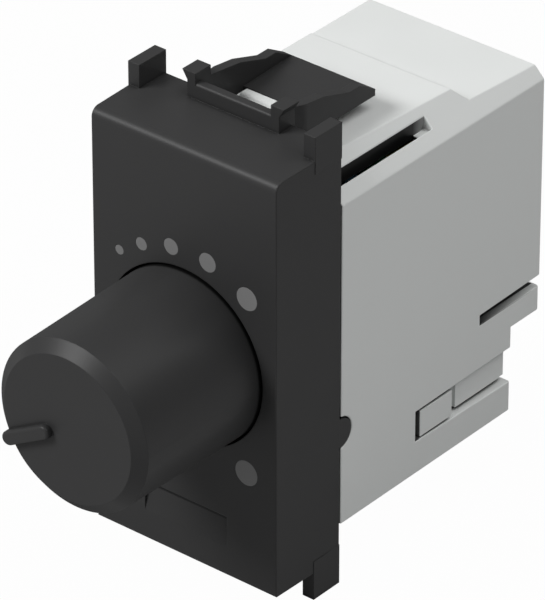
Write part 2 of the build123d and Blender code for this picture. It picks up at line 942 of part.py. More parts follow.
def housing_form(inset, near, far):
    """Outer form of the housing between two depths, or its room when inset."""
    half = half_width - inset
    shoulder = chamfer_sum - inset * sqrt(2) - half
    ridge = roof_front + 1 - inset
    with BuildPart() as form:
        with BuildSketch(front(near)):
            with BuildLine():
                Polyline(
                    (-half, inset - housing_bottom),
                    (half, inset - housing_bottom),
                    (half, shoulder),
                    (half + shoulder - ridge, ridge),
                    (ridge - half - shoulder, ridge),
                    (-half, shoulder),
                    close=True,
                )
            make_face()
        extrude(amount=near - far)
        start = roof_height(0) - inset
        step = roof_step_depth - inset * (sqrt(2) - 1)
        with BuildSketch(side(0)) as above:
            with BuildLine():
                Polyline(
                    (0, start),
                    (step, roof_height(step) - inset),
                    (step + roof_step, roof_height(step) - inset - roof_step),
                    (housing_rear + 1, roof_height(housing_rear + 1) - inset),
                    (housing_rear + 1, ridge + 1),
                    (0, ridge + 1),
                    close=True,
                )
            make_face()
        extrude(above.sketch, amount=half_width, both=True, mode=Mode.SUBTRACT)
    return form.part


def housing_side_cuts():
    """Flex slot, stepped rear and snap window, through both side walls."""
    beyond = housing_rear + 1
    side_profile(
        [
            (flex_slot_start, -flex_slot_top),
            (beyond, -flex_slot_top + flex_slot_draft),
            (beyond, -slot_bottom),
            (flex_slot_start, -slot_bottom),
        ],
        -half_width,
        half_width,
        mode=Mode.SUBTRACT,
    )
    block(
        (-half_width, half_width),
        (lower_rear, beyond),
        (-housing_bottom, -visor_bottom),
        mode=Mode.SUBTRACT,
    )
    side_profile(
        [
            (window_start, -window_top),
            (beyond, -window_top + window_lift),
            (beyond, -window_top - window_height - window_flare),
            (window_start, -window_top - window_height),
        ],
        -half_width,
        half_width,
        mode=Mode.SUBTRACT,
    )


slot_bottom = flex_slot_top + flex_slot_height
housing_outer = housing_form(0, cover_depth + shadow_gap, housing_rear)
housing_lip = housing_form(shadow_inset, cover_depth, cover_depth + shadow_gap)
housing_room = housing_form(housing_wall, cover_depth, housing_rear - housing_wall)

with BuildPart() as housing:
    add(housing_outer)
    add(housing_lip)
    add(housing_room, mode=Mode.SUBTRACT)
    housing_side_cuts()
    rear_opening = (-housing_bottom, -slot_bottom)
    block((-cavity_half, cavity_half), (floor_end, housing_rear), rear_opening, mode=Mode.SUBTRACT)
    for depth, low, high, radius in (
        (housing_rear, -visor_bottom, -slot_bottom, jaw_corner_round),
        (lower_rear, -housing_bottom, -window_top - window_height, foot_corner_round),
    ):
        corners = housing.edges().filter_by(Axis.Z).filter_by_position(Axis.Y, depth, depth)
        corners = corners.filter_by_position(Axis.Z, low, high)
        fillet([edge for edge in corners if abs(edge.center().X) > cavity_half], radius)
    for across in (-1, 1):
        slot = sorted((across * tongue_half, across * (tongue_half + tongue_slot)))
        shelf_start = tongue_end - slot_shelf_length
        shelf_top = side_top + slot_shelf_height
        block(slot, (cover_depth, shelf_start), (side_top - housing_wall, roof_front), mode=Mode.SUBTRACT)
        block(slot, (shelf_start, tongue_end), (shelf_top, roof_front), mode=Mode.SUBTRACT)
        with BuildSketch(side(across * half_width)) as ear_seat:
            with Locations((cover_depth + ear_reach, -ear_drop)):
                Circle(ear_radius + ear_gap)
            with Locations((cover_depth, -ear_drop)):
                Rectangle(2 * ear_reach, 2 * (ear_radius + ear_gap))
        extrude(ear_seat.sketch, amount=-across * (ear_thickness + ear_gap), mode=Mode.SUBTRACT)
        ledge = sorted((across * cavity_half, across * (cavity_half - seat_ledge)))
        ledge_depths = (board_rear, board_rear + seat_ledge_length)
        block(ledge, ledge_depths, (upper_ledge, upper_ledge + seat_ledge_height))
        block(ledge, ledge_depths, (-lower_ledge, seat_ledge_height - lower_ledge))
    pad_top = latch_floor + plate_thickness
    pad_rear = plate_front - pad_gap
    pad_root = roof_front - housing_wall
    with BuildSketch(side(-pad_width / 2)) as pad:
        with BuildLine():
            Polyline(
                (pad_front, pad_root),
                (pad_rear, pad_root),
                (pad_rear, pad_top),
                (pad_rear - pad_length / 2, pad_top),
                (pad_front, roof_front),
                close=True,
            )
        make_face()
        fillet(pad.vertices().group_by(Axis.Y)[-1], pad_round)
    extrude(pad.sketch, amount=pad_width)
    for x in terminals:
        with BuildSketch(Plane.XY.offset(-housing_bottom)) as driver_hole:
            with Locations((x, pillar_front + screw_place)):
                Circle(driver_hole_radius)
        extrude(driver_hole.sketch, amount=housing_wall, mode=Mode.SUBTRACT)
housing.part.label = "housing"

# Terminal block with its pillars and screws

with BuildPart() as terminal_block:
    block((-block_half, block_half), (block_front, lower_rear), (-block_bottom, -block_top))
    block(
        (-block_half, block_half),
        (lower_rear, housing_rear),
        (-block_top - visor_thickness, -block_top),
    )
    fillet(terminal_block.faces().sort_by(Axis.Y)[-1].edges().sort_by(Axis.Z)[-1], rear_corner_round)
    snap_front = window_start + snap_gap
    heights = (-window_top - window_height + window_gap, -window_top - window_gap)
    for across in (-1, 1):
        snap = sorted((across * (block_half - 1), across * half_width))
        block(snap, (snap_front, snap_front + snap_length), heights)
        rail = sorted((across * (block_half - 1), across * (half_width - rail_inset)))
        block(rail, (rail_start, rail_end), heights)
        tail = sorted((across * (block_half - 1), across * (half_width - rail_tail_inset)))
        block(tail, (rail_end, rail_end + rail_tail), heights)
    for x in terminals:
        walls = (x - chamber_width / 2, x + chamber_width / 2)
        block(walls, (pillar_front, lower_rear), (-chamber_bottom, -chamber_top), mode=Mode.SUBTRACT)
        rod(x, -wire_height, tail_radius + board_hole_gap, block_front, pillar_front, mode=Mode.SUBTRACT)
        with BuildSketch(Plane.XY.offset(-block_bottom)) as driver_hole:
            with Locations((x, pillar_front + screw_place)):
                Circle(driver_hole_radius)
        extrude(driver_hole.sketch, amount=chamber_floor_wall, mode=Mode.SUBTRACT)
terminal_block.part.label = "terminal_block"

pillar_low = pillar_gap - chamber_bottom
bore_low = -wire_height - wire_bore_radius

with BuildPart() as terminal_pillars:
    for x in terminals:
        walls = (x - pillar_width / 2, x + pillar_width / 2)
        block(walls, (pillar_front, pillar_rear), (pillar_low, -chamber_top - pillar_gap))
        bore_front = pillar_rear - wire_bore_length
        rod(x, -wire_height, wire_bore_radius, bore_front, pillar_rear, mode=Mode.SUBTRACT)
        rod(x, -wire_height, tail_radius, board_front, pillar_front)
        with BuildSketch(Plane.XY.offset(pillar_low)) as thread:
            with Locations((x, pillar_front + screw_place)):
                Circle(thread_radius)
        extrude(thread.sketch, amount=bore_low - pillar_low + thread_overrun, mode=Mode.SUBTRACT)
terminal_pillars.part.label = "terminal_pillars"

head_top = -chamber_bottom - pillar_gap / 2
head_bottom = head_top - screw_head_height

with BuildPart() as terminal_screws:
    for x in terminals:
        with BuildSketch(Plane.XY.offset(head_bottom)) as head:
            with Locations((x, pillar_front + screw_place)):
                Circle(screw_head_radius)
        extrude(head.sketch, amount=screw_head_height)
        with BuildSketch(Plane.XY.offset(head_top)) as shank:
            with Locations((x, pillar_front + screw_place)):
                Circle(screw_radius)
        extrude(shank.sketch, amount=bore_low - screw_backoff - head_top)
        slot_depths = (
            pillar_front + screw_place - screw_slot / 2,
            pillar_front + screw_place + screw_slot / 2,
        )
        slot_walls = (x - screw_head_radius, x + screw_head_radius)
        block(slot_walls, slot_depths, (head_bottom, head_bottom + screw_slot_depth), mode=Mode.SUBTRACT)
terminal_screws.part.label = "terminal_screws"

for piece in (
    front_cover,
    scale_dots,
    knob,
    shaft,
    shaft_clip,
    pot_bushing,
    pot_body,
    pot_rotor,
    wiper,
    track_plate,
    resistive_track,
    track_pins,
    push_slider,
    contact_ring,
    return_spring,
    switch_contacts,
    circuit_board,
    control_chip,
    fuse,
    electrolytic_capacitor,
    resistors,
    film_capacitor,
    choke_core,
    choke_winding,
    heat_sink,
    triac,
    triac_screw,
    housing,
    terminal_block,
    terminal_pillars,
    terminal_screws,
):
    export_step(piece.part, f"parts/{piece.part.label}.step")
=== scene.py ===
from math import cos, pi, radians, sin

import bmesh
import bpy
from mathutils import Matrix, Vector


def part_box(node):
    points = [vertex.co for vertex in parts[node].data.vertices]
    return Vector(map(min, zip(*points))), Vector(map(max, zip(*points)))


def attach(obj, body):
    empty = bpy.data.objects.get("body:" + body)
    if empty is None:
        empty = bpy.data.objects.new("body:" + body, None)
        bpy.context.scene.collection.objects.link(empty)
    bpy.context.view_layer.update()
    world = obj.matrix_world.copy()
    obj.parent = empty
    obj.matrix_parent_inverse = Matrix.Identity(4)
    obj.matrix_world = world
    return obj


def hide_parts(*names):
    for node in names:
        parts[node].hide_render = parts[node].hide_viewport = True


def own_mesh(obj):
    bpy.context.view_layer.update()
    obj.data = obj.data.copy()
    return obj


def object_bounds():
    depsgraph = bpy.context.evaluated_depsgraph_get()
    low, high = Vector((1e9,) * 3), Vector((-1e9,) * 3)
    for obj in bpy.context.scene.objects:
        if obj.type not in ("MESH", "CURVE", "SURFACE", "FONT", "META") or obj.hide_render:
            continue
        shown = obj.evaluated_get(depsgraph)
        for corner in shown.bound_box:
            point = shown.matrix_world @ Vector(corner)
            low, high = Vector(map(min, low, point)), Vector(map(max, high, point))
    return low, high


# Looks of a rotary wall dimmer, in metres, in the frame of its solids: X to the
# right seen from the front, Y into the wall and Z up, with the origin on the
# knob's axis at the cover's face.
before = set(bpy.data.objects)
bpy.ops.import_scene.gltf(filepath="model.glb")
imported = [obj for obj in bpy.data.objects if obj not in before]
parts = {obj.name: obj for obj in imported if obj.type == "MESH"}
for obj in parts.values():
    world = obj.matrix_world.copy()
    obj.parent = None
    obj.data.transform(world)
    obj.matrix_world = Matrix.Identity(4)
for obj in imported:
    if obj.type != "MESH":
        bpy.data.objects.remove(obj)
solid_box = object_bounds()


# Circuit board: 1.6 mm glass laminate with green lacquer over its copper
# tracks. It stands across the housing and carries every electrical piece.

def new_finish(name, roughness, metallic=0.0, specular=0.5):
    """Shader of one finish, with its values that are the same all over."""
    finish = bpy.data.materials.new(name)
    finish.use_nodes = True
    shader = finish.node_tree.nodes["Principled BSDF"]
    shader.inputs["Roughness"].default_value = roughness
    shader.inputs["Metallic"].default_value = metallic
    shader.inputs["Specular IOR Level"].default_value = specular
    return finish


def place_on(finish, turn=(0, 0, 0), stretch=(1, 1, 1)):
    """Place on the piece in metres, turned or stretched for a pattern."""
    nodes, links = finish.node_tree.nodes, finish.node_tree.links
    where = nodes.new("ShaderNodeTexCoord")
    mapping = nodes.new("ShaderNodeMapping")
    mapping.inputs["Rotation"].default_value = [radians(a) for a in turn]
    mapping.inputs["Scale"].default_value = stretch
    links.new(where.outputs["Object"], mapping.inputs["Vector"])
    return mapping.outputs["Vector"]


def mottle(finish, size, detail=3.0, place=None):
    """Noise of one grain size, in metres."""
    nodes, links = finish.node_tree.nodes, finish.node_tree.links
    grain = nodes.new("ShaderNodeTexNoise")
    grain.inputs["Scale"].default_value = 1 / size
    grain.inputs["Detail"].default_value = detail
    links.new(place or place_on(finish), grain.inputs["Vector"])
    return grain.outputs["Fac"]


def between(finish, pattern, low, high, edges=(0.35, 0.65)):
    """Turns a pattern into a value that runs from low to high."""
    nodes, links = finish.node_tree.nodes, finish.node_tree.links
    spread = nodes.new("ShaderNodeMapRange")
    spread.inputs["From Min"].default_value = edges[0]
    spread.inputs["From Max"].default_value = edges[1]
    spread.inputs["To Min"].default_value = low
    spread.inputs["To Max"].default_value = high
    links.new(pattern, spread.inputs["Value"])
    return spread.outputs["Result"]


def mixed(finish, share, first, second):
    """Colour that goes from first to second with a pattern; either may be a pattern."""
    nodes, links = finish.node_tree.nodes, finish.node_tree.links
    mix = nodes.new("ShaderNodeMix")
    mix.data_type = "RGBA"
    links.new(share, mix.inputs["Factor"])
    for name, colour in (("A", first), ("B", second)):
        socket = [s for s in mix.inputs if s.name == name and s.type == "RGBA"][0]
        if isinstance(colour, tuple):
            socket.default_value = (*colour, 1)
        else:
            links.new(colour, socket)
    return [s for s in mix.outputs if s.type == "RGBA"][0]


def to_shader(finish, socket, value):
    """Runs a pattern into one of the shader's inputs."""
    tree = finish.node_tree
    tree.links.new(value, tree.nodes["Principled BSDF"].inputs[socket])


def relief(finish, pattern, height):
    """Raises a pattern by a height in metres, on top of any relief already there."""
    nodes, links = finish.node_tree.nodes, finish.node_tree.links
    bump = nodes.new("ShaderNodeBump")
    bump.inputs["Distance"].default_value = height
    bump.inputs["Strength"].default_value = 1
    links.new(pattern, bump.inputs["Height"])
    normal = nodes["Principled BSDF"].inputs["Normal"]
    if normal.links:
        links.new(normal.links[0].from_socket, bump.inputs["Normal"])
    links.new(bump.outputs["Normal"], normal)


def dress(finish, *names):
    """Gives solids their finish."""
    for name in names:
        surfaces = parts[name].data.materials
        surfaces.clear()
        surfaces.append(finish)


def lacquered_board():
    """Green lacquer, paler and raised over a net of copper tracks."""
    finish = new_finish("green_board_lacquer", roughness=0.32)
    nodes, links = finish.node_tree.nodes, finish.node_tree.links
    tracks = nodes.new("ShaderNodeTexBrick")
    tracks.inputs["Scale"].default_value = 1
    tracks.inputs["Brick Width"].default_value = 0.0062
    tracks.inputs["Row Height"].default_value = 0.0027
    tracks.inputs["Mortar Size"].default_value = 0.0003
    tracks.inputs["Mortar Smooth"].default_value = 0.1
    links.new(place_on(finish, turn=(90, 0, 0)), tracks.inputs["Vector"])
    clouds = mottle(finish, size=0.004)
    lacquer = mixed(finish, clouds, (0.012, 0.085, 0.035), (0.02, 0.12, 0.05))
    over_tracks = mixed(finish, tracks.outputs["Fac"], lacquer, (0.05, 0.2, 0.07))
    to_shader(finish, "Base Color", over_tracks)
    to_shader(finish, "Roughness", between(finish, clouds, 0.25, 0.4))
    relief(finish, tracks.outputs["Fac"], height=0.00004)
    relief(finish, mottle(finish, size=0.0005), height=0.000004)
    return finish


dress(lacquered_board(), "circuit_board")


# Control chip, fuse and smoothing capacitor: moulded black cases soldered to
# the front of the board. The capacitor has a sleeve with a paler stripe.

def shaded(colour, times):
    """Colour made darker, or paler up to white."""
    return tuple(min(1, c * times) for c in colour)


def black_case(name, shade, roughness, grain_size):
    """Moulded black case with a fine grain."""
    finish = new_finish(name, roughness=roughness)
    grains = mottle(finish, grain_size)
    to_shader(finish, "Base Color", mixed(finish, grains, shaded(shade, 0.75), shade))
    gloss = between(finish, mottle(finish, size=0.002), roughness - 0.06, roughness + 0.06)
    to_shader(finish, "Roughness", gloss)
    relief(finish, grains, height=0.00001)
    return finish


def worked_out(finish, operation, *values, clamp=False):
    """Result of one step of arithmetic on numbers and patterns."""
    nodes, links = finish.node_tree.nodes, finish.node_tree.links
    step = nodes.new("ShaderNodeMath")
    step.operation = operation
    step.use_clamp = clamp
    for socket, value in zip(step.inputs, values):
        if isinstance(value, (int, float)):
            socket.default_value = value
        else:
            links.new(value, socket)
    return step.outputs["Value"]


def along(finish):
    """Places on the piece along X, Y and Z."""
    nodes, links = finish.node_tree.nodes, finish.node_tree.links
    split = nodes.new("ShaderNodeSeparateXYZ")
    links.new(place_on(finish), split.inputs["Vector"])
    return split.outputs


def beyond(finish, axis, middle, distance):
    """1 where a point is farther than a distance from a middle along one axis."""
    shifted = worked_out(finish, "SUBTRACT", along(finish)[axis], middle)
    away = worked_out(finish, "ABSOLUTE", shifted)
    return worked_out(finish, "GREATER_THAN", away, distance)


def paint_over(finish, share, paint):
    """Lays a paint over the colour that a finish has already."""
    shader = finish.node_tree.nodes["Principled BSDF"]
    under = shader.inputs["Base Color"].links[0].from_socket
    to_shader(finish, "Base Color", mixed(finish, share, under, paint))


def cased_part(name, shade, axis, middle, distance):
    """Black case whose legs or tab, beyond a distance, are bare metal."""
    finish = black_case(name, shade, roughness=0.42, grain_size=0.0003)
    bare = beyond(finish, axis, middle, distance)
    paint_over(finish, bare, leg_metal)
    to_shader(finish, "Metallic", bare)
    return finish


leg_metal = (0.62, 0.62, 0.6)
chip_black = (0.035, 0.035, 0.038)
chip_case_half = 0.002
fuse_black = (0.03, 0.03, 0.032)
sleeve_black = (0.02, 0.022, 0.03)
stripe_grey = (0.4, 0.42, 0.45)
stripe_start = 0.9

chip_low, chip_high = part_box("control_chip")
chip_middle = (chip_low.z + chip_high.z) / 2
dress(cased_part("chip_epoxy", chip_black, "Z", chip_middle, chip_case_half), "control_chip")
dress(black_case("fuse_cap", fuse_black, roughness=0.38, grain_size=0.0004), "fuse")

sleeve = black_case("capacitor_sleeve", sleeve_black, roughness=0.3, grain_size=0.0006)
sleeve_low, sleeve_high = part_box("electrolytic_capacitor")
stripe_distance = (sleeve_high.x - sleeve_low.x) * stripe_start
paint_over(sleeve, beyond(sleeve, "X", sleeve_low.x, stripe_distance), stripe_grey)
dress(sleeve, "electrolytic_capacitor")


# Resistors: ceramic rods under blue lacquer, with painted rings. Their tinned
# leads are bent at both ends and soldered into the board.

lacquer_blue = (0.12, 0.27, 0.42)
ring_red = (0.35, 0.02, 0.02)
ring_ochre = (0.5, 0.25, 0.02)
lead_tin = (0.6, 0.6, 0.58)
rod_half = 0.0018


def ringed_resistor():
    """Lacquer that is ringed from the middle of the rod out to its bare leads."""
    finish = new_finish("resistor_lacquer", roughness=0.3)
    low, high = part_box("resistors")
    middle = (low.z + high.z) / 2
    clouds = mottle(finish, size=0.0012)
    to_shader(finish, "Base Color", mixed(finish, clouds, (0.1, 0.24, 0.38), (0.14, 0.3, 0.45)))
    for distance, paint in (
        (0.0003, ring_red),
        (0.0006, lacquer_blue),
        (0.0009, ring_ochre),
        (0.0012, lacquer_blue),
        (rod_half, lead_tin),
    ):
        paint_over(finish, beyond(finish, "Z", middle, distance), paint)
    to_shader(finish, "Metallic", beyond(finish, "Z", middle, rod_half))
    relief(finish, clouds, height=0.00002)
    return finish


dress(ringed_resistor(), "resistors")


# Film capacitor: a wound block of metallised film, dipped in ochre resin. It is
# soldered to the rear of the board.

def resin_dip():
    """Ochre resin with slight ripples."""
    finish = new_finish("capacitor_resin", roughness=0.35)
    clouds = mottle(finish, size=0.003)
    to_shader(finish, "Base Color", mixed(finish, clouds, (0.5, 0.33, 0.05), (0.6, 0.42, 0.08)))
    relief(finish, mottle(finish, size=0.0008), height=0.00002)
    return finish


dress(resin_dip(), "film_capacitor")


# Choke: iron-powder ring under yellow paint, wound with one enamelled copper
# wire, turn beside turn. Both ends of the wire are soldered into the board.

ring_width = 0.0024
wire_radius = 0.00025
wire_turns = 25
wire_slack = 0.00002
unwound_angle = 30
corner_steps = 4


def grained_paint(name, dark, light, grain_size, height, roughness, specular=0.5):
    """Paint or ink whose shade and relief follow one grain."""
    finish = new_finish(name, roughness=roughness, specular=specular)
    grains = mottle(finish, grain_size)
    to_shader(finish, "Base Color", mixed(finish, grains, dark, light))
    relief(finish, grains, height)
    return finish


def enamelled_copper():
    """Copper wire seen through clear brown enamel."""
    finish = new_finish("enamelled_copper", roughness=0.28, metallic=1.0)
    clouds = mottle(finish, size=0.0015)
    to_shader(finish, "Base Color", mixed(finish, clouds, (0.5, 0.17, 0.06), (0.62, 0.24, 0.09)))
    to_shader(finish, "Roughness", between(finish, clouds, 0.22, 0.36))
    return finish


def new_piece(name, mesh, finish, body):
    """Adds a mesh as a piece that rides on a body."""
    mesh.materials.append(finish)
    piece = bpy.data.objects.new(name, mesh)
    bpy.context.scene.collection.objects.link(piece)
    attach(piece, body)
    return piece


def wound_wire(core, board):
    """Middle line of one wire round a ring, with both its ends in the board."""
    low, high = core
    middle = (low + high) / 2
    outer = (high.x - low.x) / 2
    inner = outer - ring_width
    reach = wire_radius + wire_slack
    corners = (
        (outer, low.y, -90),
        (outer, high.y, 0),
        (inner, high.y, 90),
        (inner, low.y, 180),
    )
    steps = len(corners) * corner_steps
    first = radians(-90 + unwound_angle / 2)
    sweep = radians(360 - unwound_angle)
    line = []
    for step in range(wire_turns * steps + corner_steps):
        corner_away, corner_depth, start = corners[step // corner_steps % len(corners)]
        bend = radians(start + 90 * (step % corner_steps) / (corner_steps - 1))
        away = corner_away + reach * cos(bend)
        depth = corner_depth + reach * sin(bend)
        angle = first + sweep * step / (wire_turns * steps)
        line.append((middle.x + away * cos(angle), depth, middle.z + away * sin(angle)))
    lead_start, lead_end = ((x, board - wire_radius, z) for x, _, z in (line[0], line[-1]))
    return [lead_start, *line, lead_end]


def tube(name, line, radius, sides=3):
    """Round wire along a line."""
    curve = bpy.data.curves.new(name, "CURVE")
    curve.dimensions = "3D"
    curve.bevel_depth = radius
    curve.bevel_resolution = sides
    curve.use_fill_caps = True
    spline = curve.splines.new("POLY")
    spline.points.add(len(line) - 1)
    for point, place in zip(spline.points, line):
        point.co = (*place, 1)
    drawn = bpy.data.objects.new(name, curve)
    mesh = bpy.data.meshes.new_from_object(drawn)
    for face in mesh.polygons:
        face.use_smooth = True
    bpy.data.objects.remove(drawn)
    return mesh


ring_paint = grained_paint(
    "choke_paint",
    dark=(0.42, 0.36, 0.05),
    light=(0.55, 0.47, 0.09),
    grain_size=0.0005,
    height=0.00002,
    roughness=0.5,
)
dress(ring_paint, "choke_core")
board_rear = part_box("circuit_board")[1].y
winding = new_piece(
    "choke_wire",
    tube("choke_wire", wound_wire(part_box("choke_core"), board_rear), wire_radius),
    enamelled_copper(),
    "module",
)
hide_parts("choke_winding")


# Heat sink, power switch and its screw: a plain aluminium strip on the side
# wall, with the black-cased triac screwed flat against it.

def rolled_sheet(name, light, roughness):
    """Metal sheet with fine upright marks from rolling."""
    finish = new_finish(name, roughness=roughness, metallic=1.0)
    marks = mottle(finish, size=0.0002, place=place_on(finish, stretch=(1, 1, 0.05)))
    to_shader(finish, "Base Color", mixed(finish, marks, shaded(light, 0.88), light))
    to_shader(finish, "Roughness", between(finish, marks, roughness - 0.08, roughness + 0.08))
    relief(finish, marks, height=0.000003)
    return finish


def plated_steel(name, light=(0.62, 0.63, 0.65), roughness=0.3):
    """Bright zinc plating, slightly uneven."""
    finish = new_finish(name, roughness=roughness, metallic=1.0)
    clouds = mottle(finish, size=0.0008)
    to_shader(finish, "Base Color", mixed(finish, clouds, shaded(light, 0.9), light))
    to_shader(finish, "Roughness", between(finish, clouds, roughness - 0.06, roughness + 0.08))
    relief(finish, mottle(finish, size=0.0002), height=0.000003)
    return finish


sink_light = (0.8, 0.8, 0.81)
triac_black = (0.03, 0.03, 0.032)
triac_case_half = 0.0045
case_to_rear = 0.0093

dress(rolled_sheet("sink_aluminium", sink_light, roughness=0.38), "heat_sink")
triac_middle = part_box("triac")[1].y - case_to_rear
dress(cased_part("triac_epoxy", triac_black, "Y", triac_middle, triac_case_half), "triac")
zinc_plating = plated_steel("zinc_plating")
dress(zinc_plating, "triac_screw")


# Potentiometer: zinc bushing on a moulded body. Inside, a brass wiper on the
# rotor slides over a carbon ring printed on a paper laminate plate.

inner_black = (0.05, 0.05, 0.055)
cast_zinc = (0.5, 0.51, 0.53)


def sprung_brass(name, light=(0.72, 0.5, 0.2), roughness=0.28):
    """Bare brass, slightly clouded."""
    finish = new_finish(name, roughness=roughness, metallic=1.0)
    clouds = mottle(finish, size=0.001)
    to_shader(finish, "Base Color", mixed(finish, clouds, shaded(light, 0.85), light))
    to_shader(finish, "Roughness", between(finish, clouds, roughness - 0.06, roughness + 0.1))
    relief(finish, mottle(finish, size=0.00015), height=0.000002)
    return finish


def paper_laminate():
    """Brown resin-bound paper with its fibres."""
    finish = new_finish("paper_laminate", roughness=0.5)
    fibres = mottle(finish, size=0.0006, place=place_on(finish, stretch=(1, 1, 0.3)))
    to_shader(finish, "Base Color", mixed(finish, fibres, (0.22, 0.1, 0.04), (0.3, 0.15, 0.06)))
    relief(finish, fibres, height=0.000004)
    return finish


printed_carbon = grained_paint(
    "printed_carbon",
    dark=(0.012, 0.012, 0.012),
    light=(0.03, 0.03, 0.03),
    grain_size=0.0001,
    height=0.000006,
    roughness=0.6,
)
moulded_black = black_case("inner_moulding", inner_black, roughness=0.45, grain_size=0.0004)
contact_brass = sprung_brass("contact_brass")
dress(plated_steel("die_cast_zinc", cast_zinc, roughness=0.42), "pot_bushing")
dress(moulded_black, "pot_body", "pot_rotor")
dress(contact_brass, "wiper", "track_pins", "contact_ring", "switch_contacts")
dress(paper_laminate(), "track_plate")
dress(printed_carbon, "resistive_track")


# Push switch: a moulded slider presses the brass ring on two contacts. A coiled
# steel spring with closed ends brings it back, and is squeezed by the push.

spring_steel = (0.55, 0.55, 0.56)
spring_wire = 0.0002
spring_turns = 4.5
closed_turns = 1
steps_per_turn = 32


def coiled_wire(low, high):
    """Middle line of a coil spring along Y, whose end turns lie flat."""
    reach = (high.x - low.x) / 2 - spring_wire
    first, last = low.y + spring_wire, high.y - spring_wire
    closed = 2 * spring_wire * closed_turns
    line = []
    for step in range(int(spring_turns * steps_per_turn) + 1):
        turn = step / steps_per_turn
        share = (turn - closed_turns) / (spring_turns - 2 * closed_turns)
        if share < 0:
            depth = first + closed * turn / closed_turns
        elif share > 1:
            depth = last - closed * (spring_turns - turn) / closed_turns
        else:
            depth = first + closed + share * (last - first - 2 * closed)
        angle = 2 * pi * turn
        line.append((reach * cos(angle), depth, reach * sin(angle)))
    return line


dress(moulded_black, "push_slider")
spring_low, spring_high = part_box("return_spring")
spring = new_piece(
    "coil_spring",
    tube("coil_spring", coiled_wire(spring_low, spring_high), spring_wire),
    plated_steel("spring_steel", spring_steel, roughness=0.25),
    "module",
)
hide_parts("return_spring")
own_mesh(spring)


# Shaft: turned steel with one flat, which turns the rotor and slides through
# it. A spring clip holds the shaft in the slider.

def turned_steel():
    """Steel with fine rings from the lathe."""
    finish = new_finish("turned_steel", roughness=0.3, metallic=1.0)
    rings = mottle(finish, size=0.0001, place=place_on(finish, stretch=(0.05, 1, 0.05)))
    to_shader(finish, "Base Color", mixed(finish, rings, (0.5, 0.5, 0.51), (0.64, 0.64, 0.65)))
    to_shader(finish, "Roughness", between(finish, rings, 0.24, 0.38))
    relief(finish, rings, height=0.000004)
    return finish


dress(turned_steel(), "shaft", "shaft_clip")


# Terminals: brass blocks with a bore for the wire from the rear. Each has a
# plated screw, slotted and threaded, that a driver reaches through the floor.

pillar_brass = (0.68, 0.5, 0.24)
terminal_pitch = 0.0064
head_radius = 0.0022
head_height = 0.0016
head_chamfer = 0.00015
thread_crest = 0.00145
thread_root = 0.0012
thread_pitch = 0.0005
flank_slope = 1.5
root_share = 0.2
thread_rows = 10
screw_sides = 40
slot_width = 0.0006
slot_depth = 0.0008
sharp_angle = 40


def thread_radius(height, turn):
    """Radius of the thread at a height, on a ridge that climbs one pitch a turn."""
    ridge = 1 - abs(2 * ((height / thread_pitch - turn) % 1) - 1)
    rise = min(1, max(0, flank_slope * ridge - root_share))
    return thread_root + (thread_crest - thread_root) * rise


def screw_rows(length):
    """Heights and radii of a screw from its slotted end up, None on the thread."""
    rows = [
        (0, head_radius - head_chamfer),
        (head_chamfer, head_radius),
        (head_height - head_chamfer, head_radius),
        (head_height, head_radius - head_chamfer),
        (head_height, thread_root),
    ]
    step = thread_pitch / thread_rows
    height = head_height + step
    while height < length - thread_pitch / 2:
        rows.append((height, None))
        height += step
    rows.append((length - thread_pitch / 2 + step, thread_root))
    rows.append((length, thread_root - thread_pitch / 2))
    return rows


def cut_slot(mesh):
    """Cuts a slot along X into the end of a screw."""
    bar = bmesh.new()
    bmesh.ops.create_cube(bar, size=1)
    bmesh.ops.scale(bar, vec=(4 * head_radius, slot_width, 2 * slot_depth), verts=bar.verts)
    cutter_mesh = bpy.data.meshes.new("slot_cutter")
    bar.to_mesh(cutter_mesh)
    bar.free()
    cutter = bpy.data.objects.new("slot_cutter", cutter_mesh)
    blank = bpy.data.objects.new("screw_blank", mesh)
    for thing in (cutter, blank):
        bpy.context.scene.collection.objects.link(thing)
    cut = blank.modifiers.new("slot", "BOOLEAN")
    cut.operation = "DIFFERENCE"
    cut.solver = "EXACT"
    cut.object = cutter
    bpy.context.view_layer.update()
    after_cut = blank.evaluated_get(bpy.context.evaluated_depsgraph_get())
    slotted = bpy.data.meshes.new_from_object(after_cut)
    for thing in (cutter, blank):
        bpy.data.objects.remove(thing)
    return slotted


def threaded_screw(length):
    """One screw, turned round Z from rings of points, with its slot cut."""
    shape = bmesh.new()
    rings = []
    for height, radius in screw_rows(length):
        ring = []
        for side in range(screw_sides):
            turn = side / screw_sides
            angle = 2 * pi * turn
            away = radius or thread_radius(height, turn)
            ring.append(shape.verts.new((away * cos(angle), away * sin(angle), height)))
        rings.append(ring)
    for lower, upper in zip(rings, rings[1:]):
        for side in range(screw_sides):
            after = (side + 1) % screw_sides
            shape.faces.new((lower[side], lower[after], upper[after], upper[side]))
    shape.faces.new(rings[0][::-1])
    shape.faces.new(rings[-1])
    mesh = bpy.data.meshes.new("screw_blank")
    shape.to_mesh(mesh)
    shape.free()
    return cut_slot(mesh)


def crisp(shape, angle):
    """Smooth faces that meet sharply at edges steeper than an angle."""
    for face in shape.faces:
        face.smooth = True
    for edge in shape.edges:
        edge.smooth = edge.is_manifold and edge.calc_face_angle(pi) < radians(angle)


